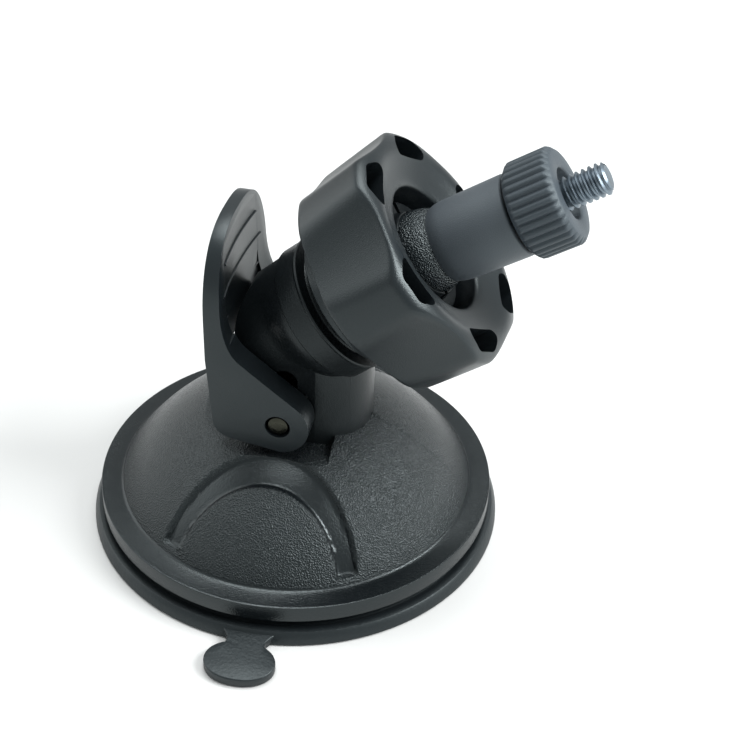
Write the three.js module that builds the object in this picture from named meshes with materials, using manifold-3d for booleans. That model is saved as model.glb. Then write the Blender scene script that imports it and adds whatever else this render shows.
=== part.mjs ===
// Lever-locked suction mount for a dash camera, in millimetres, +Z up.
// The origin is the centre of the suction pad's underside. The neck leans towards +X, and the pad's
// pull tab and the lever pin's shown head are on the -Y side.
import * as THREE from "three";
import { mergeVertices } from "three/addons/utils/BufferGeometryUtils.js";
import Module from "manifold-3d";

const wasm = await Module();
wasm.setup();

const degrees = Math.PI / 180;
const gap = 0.3; // between pieces that touch or slide on each other

// suction pad
const padRadius = 45;
const padTopRadius = 44;
const padThickness = 2.8;
const tabTurn = 1.4; // degrees
const tabReach = 56.3;
const tabNeckWidth = 8;
const tabHeadWidth = 14.4;
const tabHeadLength = 8.6;
const tabThickness = 2.2;

// pad stud, whose plate draws the pad up, and its spring
const studPlateRadius = 13;
const studPlateTop = 5.1;
const studRadius = 4.3;
const studTop = 38.6;
const springRadius = 6.7;
const springWire = 0.8; // radius
const springTurns = 6;
const springTop = 23.4;

// dome housing
const skirtRadius = 43;
const skirtBottom = 4.6;
const flangeTop = 8.6;
const gapRingRadius = 41.2;
const domeFootRadius = 38.3;
const domeFootHeight = 9;
const domeRise = 20.5;
const domeWall = 2.2;
const domeCeiling = 22.8;
const archOuterRadius = 20.4;
const archInnerRadius = 17.6;
const archCentreHeight = 5.5;
const archDepth = 0.6;

// lever pin and the slot it rises in
const pinHeight = 32.9;
const pinRadius = 2.35;
const pinHalfLength = 16.8;
const lockLift = 7;

// neck
const neckBack = -11;
const neckFront = 16.2;
const neckHalfWidth = 10.8;
const neckCornerRadius = 6;
const neckTubeRadius = 14;
const neckTopBackRadius = 12;

// flats on the dome that the lever's heel turns on
const seatHeight = 25.1;
const seatReach = 18;
const seatBack = -20;
const seatFront = 10.5;

// head: the socket and the knob share one axis through the ball's centre
const headTilt = 40.5 * degrees; // above the horizontal
const ballCentre = new THREE.Vector3(25.4, 0, 67.9);
const ballRadius = 8.5;
const collarRadius = 14.6;
const collarFront = -20.7;
const collarBack = -26;
const socketRadius = 12.4;
const socketTip = 1.7;
const socketTipRadius = 11.4;
const slotCount = 6;
const slotWidth = 1.4;
const slotDepth = 12;

// clamp knob, along the head's axis
const knobFrontRadius = 24.7;
const knobBackRadius = 23.5;
const knobRim = 4.9;
const knobBack = -12.5;
const knobHubRadius = 15.2;
const knobHubBack = -18.2;
const knobBoreRadius = 12.9;
const knobMouthRadius = 13.2;
const knobMouth = 2.6;
const knobLipRadius = 12.2;
const lobeCount = 6;
const lobeTurn = 20.5 * degrees; // of one lobe, from the knob's underside
const scallopRadius = 45;
const scallopDepthRadius = 22.1; // at the ball's centre; the scallops deepen towards the back
const scallopSlope = 2.3 * degrees;
const windowInner = 18.4;
const windowOuter = 23.1;

// stem, camera screw and lock ring, along the stem's own axis from the ball's centre
const stemTilt = 33 * degrees;
const stemStart = 5;
const stemRadius = 8;
const stemEnd = 20.1;
const headStart = 12.2;
const headLength = 4.4;
const headRadius = 5.5;
const screwRadius = 3.17;
const screwTip = 37.9;
const ringStart = 20.6;
const ringEnd = 30.4;
const ringRadius = 9.6;
const ringFaceRadius = 8.4;
const ringRecessRadius = 5.6;
const ringRecessDepth = 2.6;
const knurlCount = 36;
const knurlDepth = 0.45;

// lever
const leverHalfWidth = 17;
const earInner = 11.4;
const noseRadius = 6.4;
const leverBack = -14.6;
const leverFront = -11.3;
const heelRadius = 4.2;
const paddleTop = 73;
const paddleShoulder = 54;
const paddleRoundness = 2.64;
const paddleLowerEdge = 44.6;
const paddleDish = 1.1;

// ---- joining and cutting ----

function solid(geometry) {
  let plain = geometry.index ? geometry.toNonIndexed() : geometry.clone();
  for (const name of Object.keys(plain.attributes)) {
    if (name !== "position") plain.deleteAttribute(name);
  }
  plain = mergeVertices(plain, 1e-4);
  const place = plain.attributes.position.array;
  const corners = [];
  let volume = 0;
  for (let i = 0; i < plain.index.count; i += 3) {
    const [a, b, c] = [0, 1, 2].map((k) => plain.index.getX(i + k));
    if (a === b || b === c || c === a) continue;
    corners.push(a, b, c);
    const [p, q, r] = [a, b, c].map((k) => new THREE.Vector3().fromArray(place, 3 * k));
    volume += p.dot(q.cross(r));
  }
  if (volume < 0) corners.reverse();
  return new wasm.Manifold(
    new wasm.Mesh({
      numProp: 3,
      vertProperties: new Float32Array(place),
      triVerts: new Uint32Array(corners),
    }),
  );
}

function join(...solids) {
  return solids.reduce((whole, piece) => whole.add(piece));
}

function cut(whole, ...tools) {
  return tools.reduce((left, tool) => left.subtract(tool), whole);
}

function geometryOf(shape) {
  const mesh = shape.getMesh();
  const geometry = new THREE.BufferGeometry();
  const position = new Float32Array(mesh.vertProperties);
  geometry.setAttribute("position", new THREE.BufferAttribute(position, 3));
  geometry.setIndex([...mesh.triVerts]);
  geometry.computeVertexNormals();
  return geometry;
}

// ---- shapes ----

// a turned solid about Z; the profile is a list of [radius, height] round its section
function turned(profile, steps = 72) {
  const points = profile.map(([radius, height]) => new THREE.Vector2(radius, height));
  if (points[0].x !== 0) points.push(points[0].clone());
  return new THREE.LatheGeometry(points, steps).rotateX(Math.PI / 2);
}

function rod(radius, bottom, top, steps = 48) {
  return turned([[0, bottom], [radius, bottom], [radius, top], [0, top]], steps);
}

function box(from, to) {
  const size = to.map((value, i) => value - from[i]);
  const middle = to.map((value, i) => (value + from[i]) / 2);
  return new THREE.BoxGeometry(...size).translate(...middle);
}

// a plate drawn in X and Y, from one height to another
function plateUp(shape, bottom, top, curveSegments = 12) {
  const options = { depth: top - bottom, bevelEnabled: false, curveSegments };
  return new THREE.ExtrudeGeometry(shape, options).translate(0, 0, bottom);
}

// a plate drawn in X and Z, between two values of Y
function plateAcross(shape, from, to, curveSegments = 12) {
  const options = { depth: to - from, bevelEnabled: false, curveSegments };
  const plate = new THREE.ExtrudeGeometry(shape, options);
  return plate.rotateX(Math.PI / 2).translate(0, to, 0);
}

// a rod along Y
function crossRod(radius, from, to, x, z, steps = 32) {
  return rod(radius, from, to, steps).rotateX(-Math.PI / 2).translate(x, 0, z);
}

function roundedRectangle(left, bottom, right, top, radius) {
  const shape = new THREE.Shape();
  shape.moveTo(left + radius, bottom);
  shape.lineTo(right - radius, bottom);
  shape.absarc(right - radius, bottom + radius, radius, -Math.PI / 2, 0);
  shape.lineTo(right, top - radius);
  shape.absarc(right - radius, top - radius, radius, 0, Math.PI / 2);
  shape.lineTo(left + radius, top);
  shape.absarc(left + radius, top - radius, radius, Math.PI / 2, Math.PI);
  shape.lineTo(left, bottom + radius);
  shape.absarc(left + radius, bottom + radius, radius, Math.PI, 1.5 * Math.PI);
  return shape;
}

function arcPoints(radius, from, to, steps, x = 0, y = 0) {
  const points = [];
  for (let i = 0; i <= steps; i++) {
    const angle = from + ((to - from) * i) / steps;
    points.push([x + radius * Math.cos(angle), y + radius * Math.sin(angle)]);
  }
  return points;
}

function shapeOf(points) {
  return new THREE.Shape(points.map(([x, y]) => new THREE.Vector2(x, y)));
}

// moves what is drawn about Z to an axis through the ball's centre
function onAxis(geometry, tilt) {
  const { x, y, z } = ballCentre;
  return geometry.rotateY(Math.PI / 2 - tilt).translate(x, y, z);
}

// ---- suction pad ----

function suctionPad() {
  const disc = turned([
    [0, 0],
    [padRadius, 0],
    [padRadius, padThickness * 0.5],
    [padTopRadius, padThickness],
    [0, padThickness],
  ], 96);
  const headMiddle = tabReach - tabHeadLength / 2;
  const head = new THREE.Shape();
  head.absellipse(0, -headMiddle, tabHeadWidth / 2, tabHeadLength / 2, 0, 2 * Math.PI);
  const neckStart = -padRadius + 3;
  const neck = box([-tabNeckWidth / 2, -headMiddle, 0], [tabNeckWidth / 2, neckStart, tabThickness]);
  const tab = join(solid(plateUp(head, 0, tabThickness, 20)), solid(neck));
  return join(solid(disc), tab.rotate([0, 0, tabTurn]));
}

// ---- pad stud and spring ----

function padStud() {
  const plateBottom = padThickness + gap;
  const stud = turned([
    [0, plateBottom],
    [studPlateRadius, plateBottom],
    [studPlateRadius, studPlateTop],
    [studRadius, studPlateTop],
    [studRadius, studTop - 1],
    [studRadius - 1, studTop],
    [0, studTop],
  ], 48);
  return cut(solid(stud), solid(crossRod(pinRadius + gap, -8, 8, 0, pinHeight, 24)));
}

class Helix extends THREE.Curve {
  constructor(radius, bottom, top, turns) {
    super();
    Object.assign(this, { radius, bottom, top, turns });
  }

  getPoint(t, target = new THREE.Vector3()) {
    const angle = 2 * Math.PI * this.turns * t;
    const height = this.bottom + (this.top - this.bottom) * t;
    return target.set(this.radius * Math.cos(angle), this.radius * Math.sin(angle), height);
  }
}

function returnSpring() {
  const bottom = studPlateTop + gap + springWire;
  const path = new Helix(springRadius, bottom, springTop - springWire, springTurns);
  const section = shapeOf(arcPoints(springWire, 0, (5 / 3) * Math.PI, 5));
  return new THREE.ExtrudeGeometry(section, { steps: springTurns * 14, extrudePath: path });
}

// ---- dome housing, with the neck and the split socket ----

const domeRadius = (domeFootRadius ** 2 + domeRise ** 2) / (2 * domeRise);
const domeCentre = domeFootHeight + domeRise - domeRadius;

function domeShell() {
  const footAngle = Math.asin((domeFootHeight - domeCentre) / domeRadius);
  const outer = arcPoints(domeRadius, footAngle, Math.PI / 2, 10, 0, domeCentre);
  outer[outer.length - 1][0] = 0;
  const innerRadius = domeRadius - domeWall;
  const innerTop = Math.asin((domeCeiling - domeCentre) / innerRadius);
  const innerFoot = Math.acos((domeFootRadius - domeWall - 0.6) / innerRadius);
  const inner = arcPoints(innerRadius, innerTop, innerFoot, 6, 0, domeCentre);
  return solid(turned([
    [0, domeCeiling],
    ...inner,
    [gapRingRadius - 2.4, domeFootHeight - 2.6],
    [gapRingRadius - 2.4, padThickness + gap],
    [gapRingRadius, padThickness + gap],
    [gapRingRadius, skirtBottom],
    [skirtRadius, skirtBottom],
    [skirtRadius, flangeTop - 0.5],
    [skirtRadius - 0.5, flangeTop],
    ...outer,
  ], 64));
}

// one leg-shaped groove of the dome's side, cut straight in along Y
function archGroove(side) {
  const arch = shapeOf([
    ...arcPoints(archOuterRadius, 0, Math.PI, 16, 0, archCentreHeight),
    ...arcPoints(archInnerRadius, Math.PI, 0, 16, 0, archCentreHeight),
  ]);
  const band = side < 0 ? plateAcross(arch, -40, -12) : plateAcross(arch, 12, 40);
  const floor = new THREE.SphereGeometry(domeRadius - archDepth, 56, 28).rotateX(Math.PI / 2);
  const above = box([-25, -40, domeFootHeight + 1.2], [25, 40, 40]);
  return cut(solid(band), solid(floor.translate(0, 0, domeCentre))).intersect(solid(above));
}

function neckBody() {
  const along = new THREE.Vector2(Math.cos(headTilt), Math.sin(headTilt));
  const across = new THREE.Vector2(-along.y, along.x);
  const centre = new THREE.Vector2(ballCentre.x, ballCentre.z);
  const at = (t, v) => centre.clone().addScaledVector(along, t).addScaledVector(across, v);
  const topFront = at(collarBack + 0.5, neckTubeRadius);
  // the back corner's arc touches the upright back face and the tube's top line
  const r = neckTopBackRadius;
  const arcX = neckBack + r;
  const arcZ = centre.y + (neckTubeRadius - r) / along.x + ((arcX - centre.x) * along.y) / along.x;
  const side = new THREE.Shape();
  side.moveTo(neckBack, 18);
  side.lineTo(neckFront, 18);
  side.lineTo(neckFront, 44);
  side.lineTo(at(collarBack + 0.5, 0).x, at(collarBack + 0.5, 0).y);
  side.lineTo(topFront.x, topFront.y);
  side.absarc(arcX, arcZ, r, headTilt + Math.PI / 2, Math.PI);
  const outline = solid(plateAcross(side, -neckHalfWidth, neckHalfWidth, 10));
  const column = plateUp(
    roundedRectangle(neckBack, -neckHalfWidth, neckFront, neckHalfWidth, neckCornerRadius), 18, 60, 8,
  );
  const tube = onAxis(rod(neckTubeRadius, collarBack - 22, collarBack + 0.5, 48), headTilt);
  return join(solid(column), solid(tube)).intersect(outline);
}

function socket() {
  const cup = Math.sqrt((ballRadius + gap) ** 2 - socketTip ** 2);
  const body = solid(onAxis(turned([
    [0, collarBack],
    [collarRadius, collarBack],
    [collarRadius, collarFront],
    [socketRadius, collarFront],
    [socketRadius, socketTip - 2.5],
    [socketTipRadius, socketTip],
    [cup, socketTip],
    [0, socketTip],
  ], 48), headTilt));
  const { x, y, z } = ballCentre;
  const seat = new THREE.SphereGeometry(ballRadius + gap, 32, 20).translate(x, y, z);
  const mouth = onAxis(rod(cup, 0, socketTip + 1, 36), headTilt);
  const well = onAxis(rod(6, -socketTip - slotDepth, 0, 24), headTilt);
  let hollow = join(solid(seat), solid(mouth), solid(well));
  for (let i = 0; i < slotCount / 2; i++) {
    const slot = box([-30, -slotWidth / 2, socketTip - slotDepth], [30, slotWidth / 2, socketTip + 1]);
    slot.rotateZ(((i + 0.5) * 2 * Math.PI) / slotCount);
    hollow = hollow.add(solid(onAxis(slot, headTilt)));
  }
  return { body, hollow };
}

function domeHousing() {
  const { body, hollow } = socket();
  const slotHalf = pinRadius + gap;
  const pinSlot = roundedRectangle(
    -slotHalf, pinHeight - slotHalf, slotHalf, pinHeight + lockLift + slotHalf, slotHalf - 0.01,
  );
  const guide = rod(studRadius + 0.6, 10, studTop + lockLift + 1, 32);
  const springWell = rod(springRadius + springWire + 0.6, 10, springTop + gap, 32);
  const seat = box([seatBack, -seatReach, seatHeight], [seatFront, seatReach, seatHeight + 6]);
  return cut(
    join(cut(domeShell(), solid(seat)), neckBody(), body),
    hollow,
    solid(guide),
    solid(springWell),
    solid(plateAcross(pinSlot, -20, 20, 8)),
    archGroove(-1),
    archGroove(1),
  );
}

// ---- lever and its pin ----

function releaseLever() {
  const nose = { x: 0, z: pinHeight };
  const heel = { x: leverBack + heelRadius + 1, z: pinHeight - 0.6 };
  const topAngle = 52 * degrees; // where the ear's upper edge leaves the nose
  const side = new THREE.Shape();
  side.absarc(nose.x, nose.z, noseRadius, topAngle, -1.5, true);
  side.absarc(heel.x, heel.z, heelRadius, -1.6, -Math.PI + 0.05, true);
  side.lineTo(leverBack, 47);
  side.lineTo(leverBack, paddleTop + 1);
  side.lineTo(leverFront - 0.6, paddleTop + 1);
  side.lineTo(leverFront, 60);
  side.quadraticCurveTo(leverFront, 49.8, leverFront + 4, 46.9);
  side.closePath();
  const blank = solid(plateAcross(side, -leverHalfWidth, leverHalfWidth, 14));

  const outline = new THREE.Shape();
  outline.moveTo(-leverHalfWidth, 20);
  const steps = 40;
  for (let i = 0; i <= steps; i++) {
    const angle = (Math.PI * i) / steps;
    const power = 2 / paddleRoundness;
    const y = -leverHalfWidth * Math.sign(Math.cos(angle)) * Math.abs(Math.cos(angle)) ** power;
    const z = paddleShoulder + (paddleTop - paddleShoulder) * Math.sin(angle) ** power;
    outline.lineTo(y, z);
  }
  outline.lineTo(leverHalfWidth, 20);
  // drawn in Y and Z, then laid across X
  const upright = new THREE.ExtrudeGeometry(outline, { depth: 60, bevelEnabled: false });
  upright.applyMatrix4(new THREE.Matrix4().set(0, 0, 1, -30, 1, 0, 0, 0, 0, 1, 0, 0, 0, 0, 0, 1));

  const between = box([-30, -earInner, 10], [30, earInner, paddleLowerEdge]);
  const inside = box([leverFront - 0.4, -earInner, 10], [30, earInner, 90]);
  const dish = rod(60, paddleLowerEdge + 1, 90, 96);
  dish.translate(leverFront - paddleDish + 60, 0, 0);
  const dishWidth = box([-30, -earInner - 3, 20], [30, earInner + 3, 90]);
  const pinHole = crossRod(pinRadius + gap, -20, 20, nose.x, nose.z, 32);
  return cut(
    blank.intersect(solid(upright)),
    solid(between),
    solid(inside),
    solid(dish).intersect(solid(dishWidth)),
    solid(pinHole),
  );
}

function leverPin() {
  const profile = [
    [0, -pinHalfLength],
    [pinRadius - 0.6, -pinHalfLength],
    [pinRadius, -pinHalfLength + 0.4],
    [pinRadius, pinHalfLength - 0.4],
    [pinRadius - 0.6, pinHalfLength],
    [0, pinHalfLength],
  ];
  return solid(turned(profile, 32).rotateX(-Math.PI / 2).translate(0, 0, pinHeight));
}

// ---- clamp knob ----

// widest near the knob's axis, with cut corners
function windowShape() {
  const half = [
    [windowInner, 4.4],
    [windowInner + 1.4, 5.3],
    [windowOuter - 0.3, 3.2],
    [windowOuter, 2.2],
  ];
  const mirrored = half.map(([x, y]) => [x, -y]).reverse();
  return shapeOf([...mirrored, ...half]);
}

function clampKnob() {
  const blank = solid(turned([
    [knobBoreRadius, knobHubBack],
    [knobHubRadius, knobHubBack],
    [knobHubRadius, knobBack + 0.8],
    [knobHubRadius + 1.2, knobBack],
    [knobBackRadius - 0.9, knobBack],
    [knobBackRadius, knobBack + 0.8],
    [knobFrontRadius, knobRim - 2.4],
    [knobFrontRadius - 0.7, knobRim - 1.1],
    [knobFrontRadius - 1.9, knobRim - 0.3],
    [knobFrontRadius - 3.7, knobRim],
    [18.6, knobRim - 0.9],
    [knobMouthRadius, knobMouth],
    [knobLipRadius, knobMouth - 1.2],
    [knobLipRadius, knobMouth - 2.2],
    [knobBoreRadius, knobMouth - 4.4],
  ], 84));
  const tools = [];
  for (let i = 0; i < lobeCount; i++) {
    const turn = lobeTurn + (i * 2 * Math.PI) / lobeCount;
    const scallop = rod(scallopRadius, -30, 30, 96).rotateY(scallopSlope);
    scallop.translate(scallopDepthRadius + scallopRadius, 0, 0).rotateZ(turn + Math.PI / lobeCount);
    tools.push(solid(scallop));
    const opening = plateUp(windowShape(), knobBack - 5, knobRim + 2);
    tools.push(solid(opening.rotateZ(turn)));
  }
  return cut(blank, ...tools);
}

// ---- ball, stem, camera screw and lock ring ----

function ball() {
  return new THREE.SphereGeometry(ballRadius, 36, 22);
}

function stem() {
  const body = solid(turned([
    [0, stemStart - 1.5],
    [7.3, stemStart - 1.5],
    [7.5, stemStart + 0.2],
    [stemRadius, stemStart + 1.4],
    [stemRadius + 0.15, stemEnd - 0.5],
    [stemRadius - 0.25, stemEnd],
    [0, stemEnd],
  ], 48));
  const seat = solid(new THREE.SphereGeometry(ballRadius + gap, 36, 24));
  const pocket = solid(rod(headRadius + gap, stemStart, headStart + headLength + gap, 32));
  const hole = solid(rod(screwRadius + gap, headStart, stemEnd + 1, 32));
  return cut(body, seat, pocket, hole);
}

function cameraScrew() {
  return solid(turned([
    [0, headStart],
    [headRadius, headStart],
    [headRadius, headStart + headLength],
    [screwRadius, headStart + headLength],
    [screwRadius, screwTip - 0.8],
    [screwRadius - 0.8, screwTip],
    [0, screwTip],
  ], 32));
}

function lockRing() {
  const knurl = [];
  for (let i = 0; i < knurlCount; i++) {
    for (const [part, radius] of [[0, ringRadius], [0.5, ringRadius], [0.62, ringRadius - knurlDepth],
      [0.88, ringRadius - knurlDepth]]) {
      const angle = ((i + part) * 2 * Math.PI) / knurlCount;
      knurl.push([radius * Math.cos(angle), radius * Math.sin(angle)]);
    }
  }
  const bar = solid(plateUp(shapeOf(knurl), ringStart, ringEnd));
  const rounded = solid(turned([
    [0, ringStart],
    [ringRadius - 1.2, ringStart],
    [ringRadius + 0.1, ringStart + 1.1],
    [ringRadius + 0.1, ringEnd - 1.1],
    [ringFaceRadius, ringEnd],
    [0, ringEnd],
  ], 96));
  const recess = solid(rod(ringRecessRadius, ringEnd - ringRecessDepth, ringEnd + 1, 40));
  const hole = solid(rod(screwRadius + gap, ringStart - 1, ringEnd + 1, 32));
  return cut(bar.intersect(rounded), recess, hole);
}

// ---- the assembly ----

const mount = new THREE.Group();

function add(parent, name, geometry, color, roughness, metalness = 0) {
  const material = new THREE.MeshStandardMaterial({ color, roughness, metalness });
  const mesh = new THREE.Mesh(geometry, material);
  mesh.name = name;
  parent.add(mesh);
}

add(mount, "suction_pad", geometryOf(suctionPad()), 0x1c1e20, 0.6);
add(mount, "pad_stud", geometryOf(padStud()), 0x202224, 0.5);
add(mount, "return_spring", returnSpring(), 0x8a8c8e, 0.35, 1);
add(mount, "dome_housing", geometryOf(domeHousing()), 0x16181a, 0.5);
add(mount, "release_lever", geometryOf(releaseLever()), 0x1b1d1f, 0.42);
add(mount, "lever_pin", geometryOf(leverPin()), 0x6f6c60, 0.3, 1);

const head = new THREE.Group();
head.position.copy(ballCentre);
head.rotation.y = Math.PI / 2 - headTilt;
add(head, "clamp_knob", geometryOf(clampKnob()), 0x1d1f21, 0.42);
mount.add(head);

const arm = new THREE.Group();
arm.position.copy(ballCentre);
arm.rotation.y = Math.PI / 2 - stemTilt;
add(arm, "ball", ball(), 0x1a1b1d, 0.6);
add(arm, "stem", geometryOf(stem()), 0x1c1e20, 0.55);
add(arm, "camera_screw", geometryOf(cameraScrew()), 0x6d747c, 0.3, 1);
add(arm, "lock_ring", geometryOf(lockRing()), 0x1c1e20, 0.55);
mount.add(arm);

export default mount;
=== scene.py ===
import bpy
from math import acos, atan2, cos, degrees, pi, radians, sin, sqrt
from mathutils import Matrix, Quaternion, Vector


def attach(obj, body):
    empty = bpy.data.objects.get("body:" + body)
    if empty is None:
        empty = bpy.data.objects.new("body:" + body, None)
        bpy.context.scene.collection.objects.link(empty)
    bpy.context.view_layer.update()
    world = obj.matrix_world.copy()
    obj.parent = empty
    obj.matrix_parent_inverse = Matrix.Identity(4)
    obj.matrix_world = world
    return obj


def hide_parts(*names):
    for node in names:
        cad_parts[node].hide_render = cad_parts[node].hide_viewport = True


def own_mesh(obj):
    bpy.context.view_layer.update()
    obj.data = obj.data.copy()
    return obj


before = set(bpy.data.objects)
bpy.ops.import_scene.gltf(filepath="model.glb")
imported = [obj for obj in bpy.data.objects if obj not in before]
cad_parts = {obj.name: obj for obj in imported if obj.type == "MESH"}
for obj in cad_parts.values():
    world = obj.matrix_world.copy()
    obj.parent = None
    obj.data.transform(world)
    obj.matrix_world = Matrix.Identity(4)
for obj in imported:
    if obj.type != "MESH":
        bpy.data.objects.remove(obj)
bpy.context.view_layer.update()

mm = 0.001

# the knob and socket share one tilted axis, the stem has its own, and both start at the ball
head = {"tilt": radians(40.5), "centre": Vector((25.4, 0, 67.9))}
stemTilt = radians(33)


# hand tools: everything is drawn in millimetres, and finished() scales it to metres

def deselectAll():
    if bpy.context.mode != "OBJECT":
        bpy.ops.object.mode_set(mode="OBJECT")
    bpy.ops.object.select_all(action="DESELECT")


def pick(obj):
    deselectAll()
    obj.select_set(True)
    bpy.context.view_layer.objects.active = obj


def arc(x, y, radius, start, end, steps=8):
    turns = [radians(start + (end - start) * i / steps) for i in range(steps + 1)]
    return [(x + radius * cos(t), y + radius * sin(t)) for t in turns]


def roundedBox(left, low, right, high, radius, steps=6):
    outline = arc(right - radius, low + radius, radius, -90, 0, steps)
    outline += arc(right - radius, high - radius, radius, 0, 90, steps)
    outline += arc(left + radius, high - radius, radius, 90, 180, steps)
    return outline + arc(left + radius, low + radius, radius, 180, 270, steps)


def drawChain(name, points):
    # one vertex, extruded from point to point
    deselectAll()
    bpy.ops.mesh.primitive_plane_add(size=1)
    obj = bpy.context.object
    obj.name = name
    bpy.ops.object.mode_set(mode="EDIT")
    bpy.ops.mesh.select_all(action="SELECT")
    bpy.ops.mesh.merge(type="CENTER")
    bpy.ops.transform.translate(value=points[0])
    for before, after in zip(points, points[1:]):
        step = Vector(after) - Vector(before)
        bpy.ops.mesh.extrude_region_move(TRANSFORM_OT_translate={"value": step})
    return obj


def weldAndFace(limit=0.0005):
    bpy.ops.mesh.select_all(action="SELECT")
    bpy.ops.mesh.remove_doubles(threshold=limit)
    bpy.ops.mesh.normals_make_consistent(inside=False)
    bpy.ops.object.mode_set(mode="OBJECT")


def turned(name, profile, steps=96):
    obj = drawChain(name, [(radius, 0, height) for radius, height in profile])
    bpy.ops.mesh.select_all(action="SELECT")
    bpy.ops.mesh.spin(steps=steps, angle=2 * pi, center=(0, 0, 0), axis=(0, 0, 1))
    weldAndFace()
    return obj


def plate(name, outline, across, low, high):
    # an outline filled and pulled along one axis: "Z" draws in x and y, "Y" in x and z, "X" in y and z
    spots = {"Z": lambda a, b: (a, b, low), "Y": lambda a, b: (a, low, b), "X": lambda a, b: (low, a, b)}
    pull = {"Z": (0, 0, high - low), "Y": (0, high - low, 0), "X": (high - low, 0, 0)}
    obj = drawChain(name, [spots[across](a, b) for a, b in outline])
    bpy.ops.mesh.select_all(action="SELECT")
    bpy.ops.mesh.edge_face_add()
    bpy.ops.mesh.extrude_region_move(TRANSFORM_OT_translate={"value": pull[across]})
    weldAndFace()
    return obj


def block(name, low, high):
    deselectAll()
    middle = [(a + b) / 2 for a, b in zip(low, high)]
    bpy.ops.mesh.primitive_cube_add(size=1, location=middle)
    obj = bpy.context.object
    obj.name = name
    obj.scale = [b - a for a, b in zip(low, high)]
    return settle(obj)


def ballAt(name, radius, place, segments=96, rings=64):
    deselectAll()
    bpy.ops.mesh.primitive_uv_sphere_add(
        segments=segments, ring_count=rings, radius=radius, location=place)
    obj = bpy.context.object
    obj.name = name
    return settle(obj)


def rodAlongY(name, radius, low, high, x, z, sides=48):
    obj = turned(name, [(0, low), (radius, low), (radius, high), (0, high)], sides)
    return layAlongY(obj, x, z)


def layAlongY(obj, x, z):
    obj.rotation_euler = (-pi / 2, 0, 0)
    obj.location = (x, 0, z)
    return settle(obj)


def settle(obj):
    pick(obj)
    bpy.ops.object.transform_apply(location=True, rotation=True, scale=True)
    return obj


def ontoAxis(obj, tilt):
    # what was drawn about Z goes to the tilted axis through the ball's centre
    obj.rotation_euler = (0, pi / 2 - tilt, 0)
    obj.location = head["centre"]
    return settle(obj)


def turnedAbout(obj, angle):
    obj.rotation_euler = (0, 0, angle)
    return settle(obj)


def joined(pieces, name):
    deselectAll()
    for piece in pieces:
        piece.select_set(True)
    bpy.context.view_layer.objects.active = pieces[0]
    if len(pieces) > 1:
        bpy.ops.object.join()
    pieces[0].name = name
    return pieces[0]


def carve(obj, cutter, how="DIFFERENCE"):
    pick(obj)
    step = obj.modifiers.new("carve", "BOOLEAN")
    step.operation = how
    step.object = cutter
    step.solver = "EXACT"
    bpy.ops.object.modifier_apply(modifier=step.name)
    bpy.data.objects.remove(cutter)
    return obj


def softened(obj, width, segments=3, angle=35):
    pick(obj)
    step = obj.modifiers.new("soft edges", "BEVEL")
    step.width = width
    step.segments = segments
    step.limit_method = "ANGLE"
    step.angle_limit = radians(angle)
    bpy.ops.object.modifier_apply(modifier=step.name)
    return obj


def wound(name, section, pitch, turns, steps=48):
    # a closed section wound up the Z axis, with both ends filled
    obj = drawChain(name, [(radius, 0, height) for radius, height in section])
    bpy.ops.mesh.select_all(action="SELECT")
    bpy.ops.mesh.edge_face_add()
    bpy.ops.mesh.delete(type="ONLY_FACE")
    bpy.ops.object.mode_set(mode="OBJECT")
    step = obj.modifiers.new("thread", "SCREW")
    step.axis = "Z"
    step.angle = 2 * pi
    step.screw_offset = pitch
    step.iterations = turns
    step.steps = steps
    step.render_steps = steps
    bpy.ops.object.modifier_apply(modifier=step.name)
    bpy.ops.object.mode_set(mode="EDIT")
    bpy.ops.mesh.select_all(action="SELECT")
    bpy.ops.mesh.remove_doubles(threshold=0.0005)
    bpy.ops.mesh.select_all(action="DESELECT")
    bpy.ops.mesh.select_non_manifold(extend=False)
    bpy.ops.mesh.fill()
    weldAndFace()
    return obj


def finished(obj, name, material, body, nodes=(), smoothAngle=35):
    # from millimetres to metres, shaded, and joined to the frame
    pick(obj)
    obj.name = name
    obj.data.name = name
    obj.scale = (mm, mm, mm)
    settle(obj)
    bpy.ops.object.mode_set(mode="EDIT")
    bpy.ops.mesh.select_all(action="SELECT")
    bpy.ops.mesh.remove_doubles(threshold=1e-6)
    bpy.ops.object.mode_set(mode="OBJECT")
    bpy.ops.object.shade_smooth_by_angle(angle=radians(smoothAngle))
    obj.data.materials.clear()
    obj.data.materials.append(material)
    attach(obj, body)
    if nodes:
        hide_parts(*nodes)
    print("piece", name, len(obj.data.polygons))
    return obj


# shader groups

def newGroup(name, inputs, outputs):
    group = bpy.data.node_groups.new(name, "ShaderNodeTree")
    for label, kind, value in inputs:
        socket = group.interface.new_socket(label, in_out="INPUT", socket_type=kind)
        if value is not None:
            socket.default_value = value
    for label, kind in outputs:
        group.interface.new_socket(label, in_out="OUTPUT", socket_type=kind)
    return group, group.nodes.new("NodeGroupInput"), group.nodes.new("NodeGroupOutput")


def mathNode(tree, operation, first, second=None, clamp=False):
    node = tree.nodes.new("ShaderNodeMath")
    node.operation = operation
    node.use_clamp = clamp
    for place, value in ((0, first), (1, second)):
        if value is None:
            continue
        if isinstance(value, (int, float)):
            node.inputs[place].default_value = value
        else:
            tree.links.new(value, node.inputs[place])
    return node.outputs[0]


def noiseNode(tree, coordinates, scale, detail=2.0, roughness=0.5):
    node = tree.nodes.new("ShaderNodeTexNoise")
    tree.links.new(coordinates, node.inputs["Vector"])
    if isinstance(scale, (int, float)):
        node.inputs["Scale"].default_value = scale
    else:
        tree.links.new(scale, node.inputs["Scale"])
    node.inputs["Detail"].default_value = detail
    node.inputs["Roughness"].default_value = roughness
    return node.outputs["Fac"]


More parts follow.
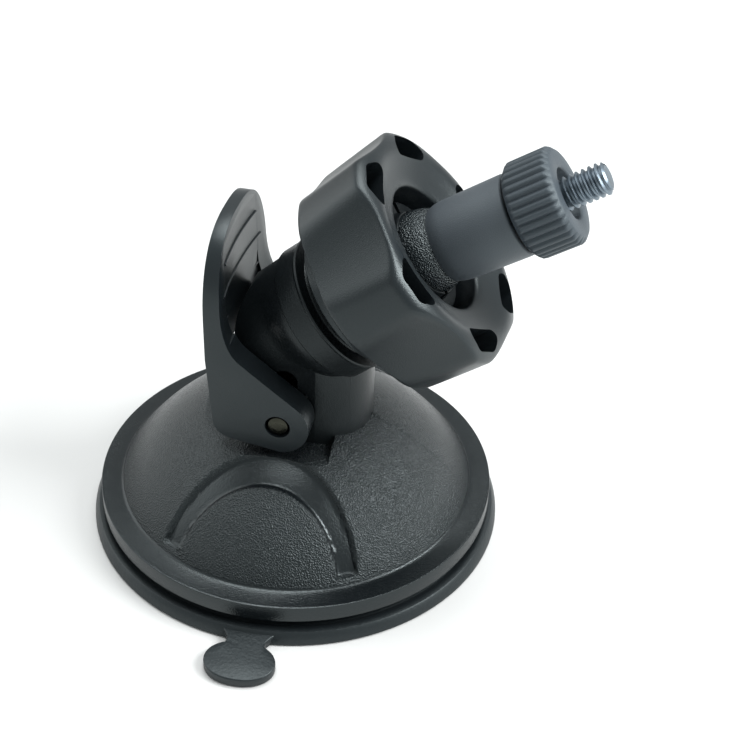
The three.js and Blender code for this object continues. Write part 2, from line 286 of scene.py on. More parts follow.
def buildMouldedGrain():
    # spark-eroded grain: small rounded cells with finer noise between them
    group, given, result = newGroup("mouldedGrain", [
        ("Coordinates", "NodeSocketVector", None),
        ("Cells per metre", "NodeSocketFloat", 2500.0),
        ("Fine share", "NodeSocketFloat", 0.4),
    ], [("Height", "NodeSocketFloat"), ("Sheen mask", "NodeSocketFloat")])
    cells = group.nodes.new("ShaderNodeTexVoronoi")
    cells.feature = "SMOOTH_F1"
    cells.inputs["Smoothness"].default_value = 0.6
    group.links.new(given.outputs["Coordinates"], cells.inputs["Vector"])
    group.links.new(given.outputs["Cells per metre"], cells.inputs["Scale"])
    doubled = mathNode(group, "MULTIPLY", given.outputs["Cells per metre"], 1.7)
    fine = noiseNode(group, given.outputs["Coordinates"], doubled, 3.0, 0.6)
    share = mathNode(group, "MULTIPLY", fine, given.outputs["Fine share"])
    group.links.new(mathNode(group, "ADD", cells.outputs["Distance"], share), result.inputs["Height"])
    group.links.new(mathNode(group, "SUBTRACT", fine, 0.5), result.inputs["Sheen mask"])
    return group


def buildHandling():
    # faint dust on what faces up, and patches that are a little more or less polished by handling
    group, given, result = newGroup("handling", [
        ("Coordinates", "NodeSocketVector", None),
        ("Dust", "NodeSocketFloat", 0.1),
        ("Patches per metre", "NodeSocketFloat", 90.0),
    ], [("Dust mask", "NodeSocketFloat"), ("Polish", "NodeSocketFloat")])
    facing = group.nodes.new("ShaderNodeNewGeometry")
    split = group.nodes.new("ShaderNodeSeparateXYZ")
    group.links.new(facing.outputs["Normal"], split.inputs[0])
    upward = mathNode(group, "MAXIMUM", split.outputs["Z"], 0.0)
    specks = noiseNode(group, given.outputs["Coordinates"], 1400.0, 4.0, 0.7)
    sparse = mathNode(group, "MULTIPLY", mathNode(group, "SUBTRACT", specks, 0.56, True), 4.0, True)
    dusty = mathNode(group, "MULTIPLY", mathNode(group, "MULTIPLY", upward, sparse), given.outputs["Dust"])
    group.links.new(dusty, result.inputs["Dust mask"])
    patches = noiseNode(group, given.outputs["Coordinates"], given.outputs["Patches per metre"], 3.0, 0.55)
    group.links.new(mathNode(group, "SUBTRACT", patches, 0.5), result.inputs["Polish"])
    return group


mouldedGrain = buildMouldedGrain()
handling = buildHandling()


def useGroup(tree, group, coordinates, **values):
    node = tree.nodes.new("ShaderNodeGroup")
    node.node_tree = group
    tree.links.new(coordinates, node.inputs["Coordinates"])
    for label, value in values.items():
        node.inputs[label.replace("_", " ")].default_value = value
    return node


# where the dome is marked as sunk it is smoother and keeps little of its grain
pressedLook = {"rougher": -0.06, "grainLost": 0.8}


def mouldedPlastic(name, look):
    material = bpy.data.materials.new(name)
    material.use_nodes = True
    tree = material.node_tree
    shader = tree.nodes["Principled BSDF"]
    place = tree.nodes.new("ShaderNodeTexCoord").outputs["Object"]
    grain = useGroup(tree, mouldedGrain, place, Cells_per_metre=look["cells"], Fine_share=look["fine"])
    touch = useGroup(tree, handling, place, Dust=look["dust"], Patches_per_metre=look["patches"])
    colour = tree.nodes.new("ShaderNodeMix")
    colour.data_type = "RGBA"
    colour.inputs["A"].default_value = look["colour"] + (1,)
    colour.inputs["B"].default_value = (0.32, 0.33, 0.32, 1)
    tree.links.new(touch.outputs["Dust mask"], colour.inputs["Factor"])
    tree.links.new(colour.outputs["Result"], shader.inputs["Base Color"])
    polish = mathNode(tree, "MULTIPLY", touch.outputs["Polish"], look["uneven"])
    glitter = mathNode(tree, "MULTIPLY", grain.outputs["Sheen mask"], look["uneven"])
    sunk = tree.nodes.new("ShaderNodeAttribute")
    sunk.attribute_name = "sunk"
    smoother = mathNode(tree, "MULTIPLY", sunk.outputs["Fac"], pressedLook["rougher"])
    pressed = mathNode(tree, "ADD", smoother, look["rough"])
    rough = mathNode(tree, "ADD", mathNode(tree, "ADD", polish, glitter), pressed, True)
    tree.links.new(rough, shader.inputs["Roughness"])
    bump = tree.nodes.new("ShaderNodeBump")
    bump.inputs["Strength"].default_value = 1.0
    bump.inputs["Distance"].default_value = look["depth"]
    lost = mathNode(tree, "MULTIPLY", sunk.outputs["Fac"], pressedLook["grainLost"])
    grainy = mathNode(tree, "SUBTRACT", 1.0, lost)
    tree.links.new(mathNode(tree, "MULTIPLY", grain.outputs["Height"], grainy), bump.inputs["Height"])
    tree.links.new(bump.outputs["Normal"], shader.inputs["Normal"])
    shader.inputs["Specular IOR Level"].default_value = look["gloss"]
    shader.inputs["Specular Tint"].default_value = (0.86, 0.98, 1.0, 1)
    return material


def worked(name, look):
    # drawn or turned steel: fine streaks, uneven polish
    material = bpy.data.materials.new(name)
    material.use_nodes = True
    tree = material.node_tree
    shader = tree.nodes["Principled BSDF"]
    place = tree.nodes.new("ShaderNodeTexCoord").outputs["Object"]
    touch = useGroup(tree, handling, place, Patches_per_metre=look["patches"])
    ramp = tree.nodes.new("ShaderNodeMix")
    ramp.data_type = "RGBA"
    ramp.inputs["A"].default_value = look["dark"] + (1,)
    ramp.inputs["B"].default_value = look["light"] + (1,)
    tone = mathNode(tree, "ADD", mathNode(tree, "MULTIPLY", touch.outputs["Polish"], 1.6), 0.5, True)
    tree.links.new(tone, ramp.inputs["Factor"])
    tree.links.new(ramp.outputs["Result"], shader.inputs["Base Color"])
    shader.inputs["Metallic"].default_value = 1.0
    rough = mathNode(tree, "MULTIPLY", touch.outputs["Polish"], 0.3)
    tree.links.new(mathNode(tree, "ADD", rough, look["rough"], True), shader.inputs["Roughness"])
    bump = tree.nodes.new("ShaderNodeBump")
    bump.inputs["Strength"].default_value = 0.6
    bump.inputs["Distance"].default_value = look["depth"]
    tree.links.new(noiseNode(tree, place, look["streaks"], 3.0, 0.6), bump.inputs["Height"])
    tree.links.new(bump.outputs["Normal"], shader.inputs["Normal"])
    return material


finishes = {
    "housing": {"colour": (0.0036, 0.0050, 0.0060), "rough": 0.29, "uneven": 0.16, "cells": 3200.0,
                "fine": 0.5, "depth": 0.00018, "dust": 0.012, "patches": 60.0, "gloss": 0.50},
    "neck": {"colour": (0.0045, 0.0060, 0.0070), "rough": 0.36, "uneven": 0.14, "cells": 3200.0,
             "fine": 0.5, "depth": 0.00003, "dust": 0.010, "patches": 90.0, "gloss": 0.34},
    "satin": {"colour": (0.0070, 0.0096, 0.0115), "rough": 0.33, "uneven": 0.10, "cells": 4600.0,
              "fine": 0.6, "depth": 0.00002, "dust": 0.015, "patches": 70.0, "gloss": 0.46},
    "ring": {"colour": (0.036, 0.046, 0.056), "rough": 0.50, "uneven": 0.14, "cells": 5200.0,
             "fine": 0.6, "depth": 0.00003, "dust": 0.03, "patches": 110.0, "gloss": 0.50},
    # the stem's colour is painted lighter than the ring's, as painted light that lifts it out of the shade
    # the knob casts on it
    "stem": {"colour": (0.058, 0.069, 0.080), "rough": 0.50, "uneven": 0.14, "cells": 5200.0,
             "fine": 0.6, "depth": 0.00003, "dust": 0.03, "patches": 110.0, "gloss": 0.55},
    "ballSkin": {"colour": (0.0100, 0.0135, 0.0160), "rough": 0.20, "uneven": 0.15, "cells": 3400.0,
                 "fine": 0.35, "depth": 0.00022, "dust": 0.010, "patches": 90.0, "gloss": 0.75},
    "padSkin": {"colour": (0.0062, 0.0085, 0.0100), "rough": 0.42, "uneven": 0.16, "cells": 1500.0,
                "fine": 0.7, "depth": 0.00003, "dust": 0.030, "patches": 80.0, "gloss": 0.46},
    "screw": {"dark": (0.11, 0.14, 0.17), "light": (0.24, 0.29, 0.33), "rough": 0.42,
              "depth": 0.00001, "streaks": 2600.0, "patches": 500.0},
    "pin": {"dark": (0.022, 0.023, 0.018), "light": (0.055, 0.056, 0.044), "rough": 0.24,
            "depth": 0.00002, "streaks": 1800.0, "patches": 600.0},
    "spring": {"dark": (0.30, 0.30, 0.29), "light": (0.52, 0.52, 0.50), "rough": 0.32,
               "depth": 0.00001, "streaks": 3000.0, "patches": 400.0},
}
housingPlastic = mouldedPlastic("housing plastic", finishes["housing"])
neckPlastic = mouldedPlastic("neck plastic", finishes["neck"])
satinPlastic = mouldedPlastic("satin plastic", finishes["satin"])
ringPlastic = mouldedPlastic("ring plastic", finishes["ring"])
# the stem's material carries painted light: its colour is raised to stand in for the light the knob keeps off
# it
stemPaintedLightPlastic = mouldedPlastic("stem plastic painted lighter", finishes["stem"])
ballPlastic = mouldedPlastic("ball plastic", finishes["ballSkin"])
padPlastic = mouldedPlastic("soft pad plastic", finishes["padSkin"])
screwSteel = worked("blackened screw steel", finishes["screw"])
pinSteel = worked("pin steel", finishes["pin"])
springSteel = worked("spring wire", finishes["spring"])
print("materials made")


# suction pad

pad = {"radius": 45, "topRadius": 44, "top": 2.8, "tabTurn": radians(1.4), "tabThick": 2.1,
       "neckHalf": 3.9, "headHalf": 7.1, "headDeep": 4.9, "headMiddle": -51.4}


def makePad():
    disc = turned("padDisc", [
        (0, 0), (pad["radius"] - 0.3, 0), (pad["radius"], 0.25), (pad["radius"] - 0.05, 0.9),
        (pad["topRadius"] + 0.15, 2.5), (pad["topRadius"] - 0.1, 2.74), (pad["topRadius"] - 0.5, pad["top"]),
        (42.4, pad["top"]), (42.1, 2.62), (41.8, 2.62), (41.5, pad["top"]), (0, pad["top"])], 224)
    # the tab: a broad flat grip on a short neck that flares into the disc
    tab = plate("tabNeck", [
        (-pad["neckHalf"] - 2.2, -43.2), (-pad["neckHalf"] - 0.8, -44.6), (-pad["neckHalf"], -46.0),
        (-pad["neckHalf"], -49.5), (pad["neckHalf"], -49.5), (pad["neckHalf"], -46.0),
        (pad["neckHalf"] + 0.8, -44.6), (pad["neckHalf"] + 2.2, -43.2)], "Z", 0, pad["tabThick"])
    grip = arc(0, 0, 1, 0, 360, 64)[:-1]
    grip = [(pad["headHalf"] * abs(x) ** 0.9 * (1 if x > 0 else -1),
             pad["headMiddle"] + pad["headDeep"] * y) for x, y in grip]
    tab = carve(tab, plate("tabGrip", grip, "Z", 0, pad["tabThick"]), "UNION")
    tab = softened(tab, 0.45, 3, 50)
    tab = turnedAbout(tab, pad["tabTurn"])
    disc = joined([disc, tab], "suctionPad")
    finished(disc, "suctionPad", padPlastic, "base", ["suction_pad"])


makePad()


# domed housing

dome = {"radius": 46.03, "centre": -16.53, "ceiling": 22.8, "wall": 2.2}
flange = {"skirt": 43, "low": 4.6, "top": 8.6, "inner": 41.2, "smoothTo": 9.2}
arch = {"radius": 19.05, "half": 1.8, "edge": 0.5, "centre": 5.5, "ends": 10.3, "endFade": 0.4, "depth": 1.1}
landing = {"back": -20, "front": 10.5, "reach": 18, "height": 25.1}


def fade(value, start, end):
    t = min(max((value - start) / (end - start), 0), 1)
    return t * t * (3 - 2 * t)


def pressArch(shell):
    # an arched band is pressed into each side of the dome; "sunk" marks its floor and the flange as smooth
    marks = shell.data.attributes.new("sunk", "FLOAT", "POINT")
    centre = Vector((0, 0, dome["centre"]))
    for vertex in shell.data.vertices:
        away = vertex.co - centre
        if vertex.co.z < flange["smoothTo"]:
            marks.data[vertex.index].value = 1.0
        if away.length < dome["radius"] - 0.3 or vertex.co.z < arch["ends"] - 0.5:
            continue
        across = abs(sqrt(vertex.co.x ** 2 + (vertex.co.z - arch["centre"]) ** 2) - arch["radius"])
        sunk = 1 - fade(across, arch["half"] - arch["edge"], arch["half"] + arch["edge"] * 0.4)
        sunk *= fade(vertex.co.z, arch["ends"] - arch["endFade"], arch["ends"] + arch["endFade"])
        marks.data[vertex.index].value = sunk
        vertex.co = centre + away.normalized() * (away.length - arch["depth"] * sunk)


def makeDome():
    inner = dome["radius"] - dome["wall"]
    innerTop = sqrt(inner ** 2 - (dome["ceiling"] - dome["centre"]) ** 2)
    footAngle = degrees(atan2(9.3 - dome["centre"], 38.15))
    topAngle = degrees(atan2(dome["ceiling"] - dome["centre"], innerTop))
    lowAngle = degrees(acos(35.5 / inner))
    profile = [(0, dome["ceiling"])]
    profile += arc(0, dome["centre"], inner, topAngle, lowAngle, 14)
    profile += [(38.8, 6.4), (38.8, 3.1), (flange["inner"], 3.1), (flange["inner"], flange["low"]),
                (flange["skirt"] - 0.35, flange["low"]), (flange["skirt"], flange["low"] + 0.35),
                (flange["skirt"], flange["top"] - 0.2), (flange["skirt"] - 0.08, flange["top"] - 0.02),
                (flange["skirt"] - 0.25, flange["top"] + 0.05), (flange["skirt"] - 0.5, flange["top"] + 0.03),
                (39.6, 8.72), (38.9, 8.8), (38.4, 8.95)]
    rise = arc(0, dome["centre"], dome["radius"], footAngle, 90, 96)
    rise[-1] = (0, rise[-1][1])
    shell = turned("domeShell", profile + rise, 400)

    pressArch(shell)
    rest = block("landing", (landing["back"], -landing["reach"], landing["height"]),
                 (landing["front"], landing["reach"], landing["height"] + 8))
    shell = carve(shell, rest)
    well = turned("springWell", [(0, 12), (8.1, 12), (8.1, 23.7), (4.9, 23.7), (4.9, 36), (0, 36)], 64)
    shell = carve(shell, well)
    finished(shell, "domeShell", housingPlastic, "base", ["dome_housing"], 38)


# the mould's parting line: a hair-thin raised seam down the front of the dome, with a few burrs
seam = {"proud": 0.05, "thick": 0.14, "start": 16.6, "end": 37.7,
        "burrs": ((16.4, 0.25, 20, 0.5), (17.1, 0.2, 70, 0.42), (17.9, 0.12, 130, 0.36))}


def makeSeam():
    deselectAll()
    bpy.ops.mesh.primitive_torus_add(
        major_segments=384, minor_segments=8, minor_radius=seam["thick"],
        major_radius=dome["radius"] + seam["proud"] - seam["thick"],
        location=(0, 0, dome["centre"]), rotation=(pi / 2, 0, 0))
    ring = settle(bpy.context.object)
    ring = carve(ring, block("seamKeep", (seam["start"], -2, 9.4), (seam["end"], 2, 40)), "INTERSECT")
    burrs = []
    for x, lift, turn, size in seam["burrs"]:
        deselectAll()
        height = dome["centre"] + sqrt(dome["radius"] ** 2 - x ** 2) + lift
        bpy.ops.mesh.primitive_cone_add(
            vertices=5, radius1=size * 0.6, radius2=size * 0.15, depth=size,
            location=(x, 0.1, height), rotation=(radians(turn), 0.9, radians(turn)))
        burrs.append(softened(settle(bpy.context.object), 0.06, 2))
    finished(joined([ring] + burrs, "mouldSeam"), "mouldSeam", housingPlastic, "base")


# neck, tube, collar and split socket

neck = {"back": -11, "front": 16.2, "half": 10.8, "frontCorner": 10, "backCorner": 6, "foot": 19,
        "tube": 14, "tubeStart": -52, "tubeEnd": -25.5, "topBack": 12, "cutReach": 14.5,
        "narrow": 0.775, "widening": 0.225, "flareStart": -33.5, "flareEnd": -26.5,
        "slotHalf": 2.65, "slotLow": 30.25, "slotHigh": 42.55, "slotCorner": 2.6}
collar = {"radius": 14.6, "lip": 14.85, "back": -26.4}
socket = {"radius": 12.2, "tip": 0.1, "cup": 8.6, "mouth": 8.53, "slots": 6, "slotWide": 1.3,
          "slotDeep": 12, "pitch": 3.0, "crest": 12.8, "turns": 3}


def onHeadPlane(along, across):
    # a point of the plane y = 0 from its place along and across the head's axis
    c, s = cos(head["tilt"]), sin(head["tilt"])
    centre = head["centre"]
    return centre.x + along * c - across * s, centre.z + along * s + across * c


def frontSide():
    # the neck's foot and front, seen from the side, up to the collar end of the head's axis
    return [(neck["back"], neck["foot"]), (neck["front"], neck["foot"]), (neck["front"], 44),
            onHeadPlane(neck["tubeEnd"], 0)]


def columnSide():
    # only what lies under the axis
    return frontSide() + [onHeadPlane(-44, 0), (neck["back"], 43)]


def tubeSide():
    # up to the tube's top line, with a round corner where it meets the upright back
    c, s = cos(head["tilt"]), sin(head["tilt"])
    r = neck["topBack"]
    arcX = neck["back"] + r
    arcZ = head["centre"].z + (neck["tube"] - r) / c + (arcX - head["centre"].x) * s / c
    corner = arc(arcX, arcZ, r, degrees(head["tilt"]) + 90, 180, 14)
    return frontSide() + [onHeadPlane(neck["tubeEnd"], neck["tube"])] + corner


def makeNeck():
    half, round, tight = neck["half"], neck["frontCorner"], neck["backCorner"]
    plan = arc(neck["front"] - round, -half + round, round, -90, 0, 22)
    plan += arc(neck["front"] - round, half - round, round, 0, 90, 22)
    plan += arc(neck["back"] + tight, half - tight, tight, 90, 180, 10)
    plan += arc(neck["back"] + tight, -half + tight, tight, 180, 270, 10)
    reach = neck["cutReach"]
    column = plate("neckColumn", plan, "Z", neck["foot"], 64)
    column = carve(column, plate("underAxis", columnSide(), "Y", -reach, reach), "INTERSECT")
    # the tube is as narrow as the cheeks at its back and opens to a circle at the collar
    wall = [(neck["tube"], neck["tubeStart"] + 1.3 * i) for i in range(21)]
    tube = turned("neckTube", [(0, neck["tubeStart"])] + wall + [(0, -26)], 160)
    for vertex in tube.data.vertices:
        opened = fade(vertex.co.z, neck["flareStart"], neck["flareEnd"])
        vertex.co.y *= neck["narrow"] + neck["widening"] * opened
    tube = ontoAxis(tube, head["tilt"])
    tube = carve(tube, plate("neckSide", tubeSide(), "Y", -reach, reach), "INTERSECT")
    tube = softened(tube, 1.6, 5, 50)
    column = carve(column, tube, "UNION")
    slot = roundedBox(-neck["slotHalf"], neck["slotLow"], neck["slotHalf"], neck["slotHigh"],
                      neck["slotCorner"], 8)
    column = carve(column, plate("pinSlot", slot, "Y", -20, 20))
    guide = turned("studGuide", [(0, 10), (4.9, 10), (4.9, 46.6), (0, 46.6)], 64)
    column = carve(column, guide)
    column = joined([column, ballAt("neckNub", 0.42, (4.4, -10.75, 36.8), 16, 10)], "neck")
    finished(column, "neck", neckPlastic, "base", (), 36)


def makeSocket():
    sleeve = turned("socketSleeve", [
        (0, collar["back"]), (14.3, collar["back"]), (collar["radius"], -26.1), (collar["radius"], -21.6),
        (14.75, -21.45), (collar["lip"], -21.1), (14.7, -20.75), (14.3, -20.65), (13.0, -20.7),
        (12.4, -20.5), (socket["radius"], -20.2), (socket["radius"], -2.3),
        (12.0, -1.9), (11.6, -1.6), (9.5, -1.6), (9.15, -1.3), (9.0, -0.1), (8.85, socket["tip"]),
        (0, socket["tip"])], 128)
    sleeve = carve(sleeve, ballAt("socketSeat", socket["cup"], (0, 0, 0)))
    mouth = turned("socketMouth", [(0, 0), (socket["mouth"], 0), (socket["mouth"], 3), (0, 3)], 96)
    sleeve = carve(sleeve, mouth)
    well = turned("socketWell", [(0, -13.7), (6, -13.7), (6, 0), (0, 0)], 64)
    sleeve = carve(sleeve, well)
    for i in range(socket["slots"] // 2):
        half = socket["slotWide"] / 2
        gap = block("fingerGap", (-20, -half, socket["tip"] - socket["slotDeep"]), (20, half, 4))
        sleeve = carve(sleeve, turnedAbout(gap, (i + 0.5) * 2 * pi / socket["slots"]))
    # the clamping thread behind the fingers
    section = [(12.0, -19.6), (12.0, -18.4), (socket["crest"], -18.7), (socket["crest"], -19.3)]
    ridge = wound("socketThread", section, socket["pitch"], socket["turns"])
    sleeve = joined([sleeve, ridge], "splitSocket")
    finished(ontoAxis(sleeve, head["tilt"]), "splitSocket", neckPlastic, "base", (), 32)


makeDome()
makeSeam()
makeNeck()
makeSocket()


# release lever and its pin

pin = {"height": 32.9, "radius": 2.35, "half": 16.75}
lever = {"half": 17, "earInner": 11.4, "nose": 6.4, "back": -14.6, "front": -11.3, "heel": 4.2,
         "top": 73, "shoulder": 54, "power": 2.64, "lowerEdge": 44.6, "archRise": 2.9, "faceBend": 60,
         "dishDeep": 1.1, "dishRadius": 92.6, "ribs": (65.6, 59.5, 53.3), "ribThick": 0.3, "ribReach": 13.0}


def paddleOutline(inset, low, steps=48):
    # a blunt arched end over straight sides
    half = lever["half"] - inset
    rise = lever["top"] - lever["shoulder"] - inset
    outline = [(-half, low)]
    for i in range(steps + 1):
        t = pi * i / steps
        x = -cos(t)
        outline.append((half * (1 if x > 0 else -1) * abs(x) ** (2 / lever["power"]),
                        lever["shoulder"] + rise * sin(t) ** (2 / lever["power"])))
    return outline + [(half, low)]


def makeLever():
    side = arc(0, pin["height"], lever["nose"], 52, -86, 26)
    side += arc(lever["back"] + lever["heel"] + 1, pin["height"] - 0.6, lever["heel"], -92, -177, 14)
    side += [(lever["back"], 47), (lever["back"], 60), (lever["back"] + 0.1, 74),
             (lever["front"] - 0.6, 74), (lever["front"], lever["faceBend"])]
    # from the paddle the ears' top edge sweeps down and forward to the nose
    a = (lever["front"], lever["faceBend"])
    b = (lever["front"], 49.8)
    c = (lever["front"] + 4, 46.9)
    for i in range(1, 9):
        t = i / 8
        side.append(tuple((1 - t) ** 2 * a[k] + 2 * t * (1 - t) * b[k] + t * t * c[k] for k in (0, 1)))
    body = plate("leverBody", side, "Y", -lever["half"], lever["half"])
    body = carve(body, plate("leverFace", paddleOutline(0, 20), "X", -30, 30), "INTERSECT")
    fork = [(-lever["earInner"], 10), (lever["earInner"], 10)]
    for i in range(25):
        t = pi * i / 24
        fork.append((lever["earInner"] * cos(t), lever["lowerEdge"] + lever["archRise"] * sin(t)))
    body = carve(body, plate("leverFork", fork, "X", -30, 30))
    body = carve(body, block("leverInside", (lever["front"] - 0.4, -lever["earInner"], 10),
                             (30, lever["earInner"], 90)))
    body = softened(body, 0.9, 4, 40)
    # the thumb side is a shallow dish
    dish = turned("leverDish", [
        (0, 50.4), (91.4, 50.4), (91.8, 51.5), (92.3, 53.5), (lever["dishRadius"], 56.5),
        (lever["dishRadius"], 69.5), (91.4, 72.4), (0, 72.4)], 512)
    dishCentre = lever["front"] - lever["dishDeep"] + lever["dishRadius"]
    dish.location = (dishCentre, 0, 0)
    body = carve(body, settle(dish))
    ribs = []
    for height in lever["ribs"]:
        deselectAll()
        bpy.ops.mesh.primitive_torus_add(
            major_segments=720, minor_segments=12, major_radius=lever["dishRadius"],
            minor_radius=lever["ribThick"], location=(dishCentre, 0, height))
        rib = settle(bpy.context.object)
        reach = lever["ribReach"]
        if height > lever["faceBend"]:
            reach = lever["half"] * sqrt(1 - ((height - lever["shoulder"]) / 19) ** 2) - 2.6
        keep = block("ribKeep", (-20, -reach, height - 2), (0, reach, height + 2))
        ribs.append(carve(rib, keep, "INTERSECT"))
    for side in (-1, 1):
        near, far = sorted((side * 10, side * 20))
        body = carve(body, rodAlongY("leverPinHole", pin["radius"] + 0.28, near, far, 0, pin["height"], 64))
    nub = ballAt("leverNub", 0.6, (-14.35, -15.6, 47.8), 16, 10)
    body = joined([body, nub] + ribs, "releaseLever")
    finished(body, "releaseLever", satinPlastic, "lever", ["release_lever"], 32)


def makePin():
    half = pin["half"]
    r = pin["radius"]
    crown = [(r, half - 0.9), (r - 0.08, half - 0.5), (r - 0.35, half - 0.15), (r - 0.9, half + 0.02),
             (r - 1.5, half + 0.05), (0, half + 0.05)]
    profile = [(radius, -height) for radius, height in reversed(crown)] + crown
    rod = turned("leverPin", profile, 64)
    finished(layAlongY(rod, 0, pin["height"]), "leverPin", pinSteel, "stud", ["lever_pin"], 30)


makeLever()
makePin()


# clamp knob

knob = {"back": -12.5, "backRadius": 23.5, "hub": 15.2, "hubBack": -18.2, "bore": 12.9, "lobes": 6,
        "turn": radians(20.5), "hollowRadius": 45, "hollowStart": 22.1, "hollowSlope": 0.04,
        "hollowInner": 19.6, "blend": 1.0}


def pressFingers(obj):
    # six shallow finger hollows, pressed in with a soft edge where they meet the round
    step = 2 * pi / knob["lobes"]
    for vertex in obj.data.vertices:
        x, y, z = vertex.co
        radius = sqrt(x * x + y * y)
        if radius < knob["hollowInner"]:
            continue
        away = (atan2(y, x) - knob["turn"] - step / 2) % step
        away = min(away, step - away)
        middle = knob["hollowStart"] + knob["hollowRadius"] + knob["hollowSlope"] * z
        reach = middle * cos(away) - sqrt(max(knob["hollowRadius"] ** 2 - (middle * sin(away)) ** 2, 0))
        mix = max(knob["blend"] - abs(radius - reach), 0) / knob["blend"]
        target = min(radius, reach) - mix * mix * knob["blend"] / 4
        vertex.co.x = x * target / radius
        vertex.co.y = y * target / radius


def windowOutline():
    # wide at its inner side, narrow outside, with rounded corners
    corners = ((18.4, -4.6, 1.0), (20.3, -5.3, 1.6), (23.1, -2.9, 1.0), (23.1, 2.9, 1.0), (20.3, 5.3, 1.6),
               (18.4, 4.6, 1.0))
    outline = []
    for i, (x, y, r) in enumerate(corners):
        here = Vector((x, y))
        before = Vector(corners[i - 1][:2]) - here
        after = Vector(corners[(i + 1) % len(corners)][:2]) - here
        start = here + before.normalized() * min(r, before.length * 0.45)
        end = here + after.normalized() * min(r, after.length * 0.45)
        for k in range(5):
            t = k / 4
            spot = start * (1 - t) ** 2 + here * 2 * t * (1 - t) + end * t * t
            outline.append((spot.x, spot.y))
    return outline


def makeKnob():
    profile = [(knob["bore"], -18.0), (knob["bore"] + 0.2, knob["hubBack"]), (14.9, knob["hubBack"]),
               (knob["hub"], -17.9), (knob["hub"], -12.9), (15.5, -12.4), (16.2, -12.0), (16.2, -2.2),
               (16.4, -2.0), (19.0, -2.0), (19.2, -2.2), (19.2, -12.2), (19.5, knob["back"])]
    profile += [(20.3 + 0.4 * i, knob["back"]) for i in range(6)]
    profile += arc(22.6, -11.6, 0.9, -90, 0, 4)
    # the outer wall widens slightly towards the front and rolls over into the rim
    for i in range(1, 24):
        t = i / 24
        profile.append((knob["backRadius"] + 1.15 * t ** 0.9, -11.6 + 13.4 * t))
    profile += [(24.68, 2.0), (24.66, 2.5), (24.5, 2.95), (24.2, 3.4), (23.8, 3.8), (23.3, 4.15),
                (22.8, 4.42), (22.2, 4.65), (21.6, 4.8), (21.0, 4.88), (20.4, 4.88), (19.8, 4.8),
                (19.2, 4.64), (18.6, 4.42),
                (17.6, 4.0), (16.6, 3.62), (15.6, 3.3), (14.6, 3.0), (13.8, 2.72), (13.4, 2.5), (13.15, 2.2),
                (13.05, 1.8), (13.0, 0.9), (12.95, -0.4), (knob["bore"], -1.2), (knob["bore"], -18.0)]
    body = turned("knobBody", profile, 288)
    pressFingers(body)
    for i in range(knob["lobes"]):
        opening = plate("knobWindow", windowOutline(), "Z", -6.5, 8)
        body = carve(body, turnedAbout(opening, knob["turn"] + i * 2 * pi / knob["lobes"]))
    finished(ontoAxis(body, head["tilt"]), "clampKnob", satinPlastic, "knob", ["clamp_knob"], 32)


makeKnob()


# ball, stem, camera screw and lock ring

ballSizes = {"radius": 8.5, "flat": 8.4}
stemSizes = {"start": 3.4, "end": 20.1, "root": 7.4, "front": 8.16, "seat": 8.56, "pocket": 5.8,
             "pocketEnd": 16.9}
screw = {"crest": 3.17, "root": 2.55, "pitch": 1.27, "turns": 11, "tip": 38.15, "start": 24.6,
         "headLow": 12.2, "headHigh": 16.6, "headRadius": 5.5, "hole": 3.47}
ringSizes = {"start": 20.75, "end": 30.4, "radius": 9.6, "teeth": 36, "recess": 5.0, "press": 0.5,
             "knurlInner": 8.9, "knurlFull": 9.5}


def makeBall():
    deselectAll()
    bpy.ops.mesh.primitive_ico_sphere_add(subdivisions=6, radius=ballSizes["radius"])
    obj = bpy.context.object
    # a small witness flat where the ball left its mould
    bpy.ops.object.mode_set(mode="EDIT")
    bpy.ops.mesh.select_all(action="SELECT")
    bpy.ops.mesh.bisect(
        plane_co=(0, 0, -ballSizes["flat"]), plane_no=(0, 0, -1), use_fill=True, clear_outer=True)
    bpy.ops.object.mode_set(mode="OBJECT")
    finished(ontoAxis(obj, stemTilt), "ball", ballPlastic, "ball", ["ball"])


def makeStem():
    body = turned("stem", [
        (0, stemSizes["start"]), (stemSizes["root"], stemSizes["start"]), (7.42, 4.1), (7.55, 4.5),
        (7.8, 5.3), (7.95, 6.2), (8.02, 7.2), (8.1, 13.0), (stemSizes["front"], 19.5), (8.05, 19.9),
        (7.8, stemSizes["end"]), (0, stemSizes["end"])], 96)
    body = carve(body, ballAt("stemSeat", stemSizes["seat"], (0, 0, 0)))
    # the screw's head turns in the pocket
    pocket = turned("stemPocket", [
        (0, 4), (stemSizes["pocket"], 4), (stemSizes["pocket"], stemSizes["pocketEnd"]),
        (screw["hole"], stemSizes["pocketEnd"]), (screw["hole"], 22), (0, 22)], 64)
    body = carve(body, pocket)
    finished(ontoAxis(body, stemTilt), "stem", stemPaintedLightPlastic, "stem", ["stem"], 32)


def makeScrew():
    low, high = screw["headLow"], screw["headHigh"]
    core = turned("screwCore", [
        (0, low), (5.2, low), (screw["headRadius"], low + 0.3), (screw["headRadius"], high - 0.3),
        (5.2, high), (screw["crest"] - 0.05, high), (screw["crest"] - 0.05, 23.6), (screw["root"], 24.2),
        (screw["root"], 37.75), (2.3, 38.05), (2.15, screw["tip"]), (0, screw["tip"])], 64)
    ridge = wound("screwThread", [
        (screw["root"] - 0.12, screw["start"] - 0.52), (screw["root"] - 0.12, screw["start"] + 0.52),
        (screw["crest"], screw["start"] + 0.1), (screw["crest"], screw["start"] - 0.1)],
        screw["pitch"], screw["turns"])
    # the last turn runs out into the chamfered tip
    keep = turned("screwKeep", [(0, 20), (3.6, 20), (3.6, 37.1), (2.45, 38.06), (0, 38.06)], 96)
    ridge = carve(ridge, keep, "INTERSECT")
    finished(ontoAxis(joined([core, ridge], "cameraScrew"), stemTilt), "cameraScrew", screwSteel,
             "screw", ["camera_screw"], 30)


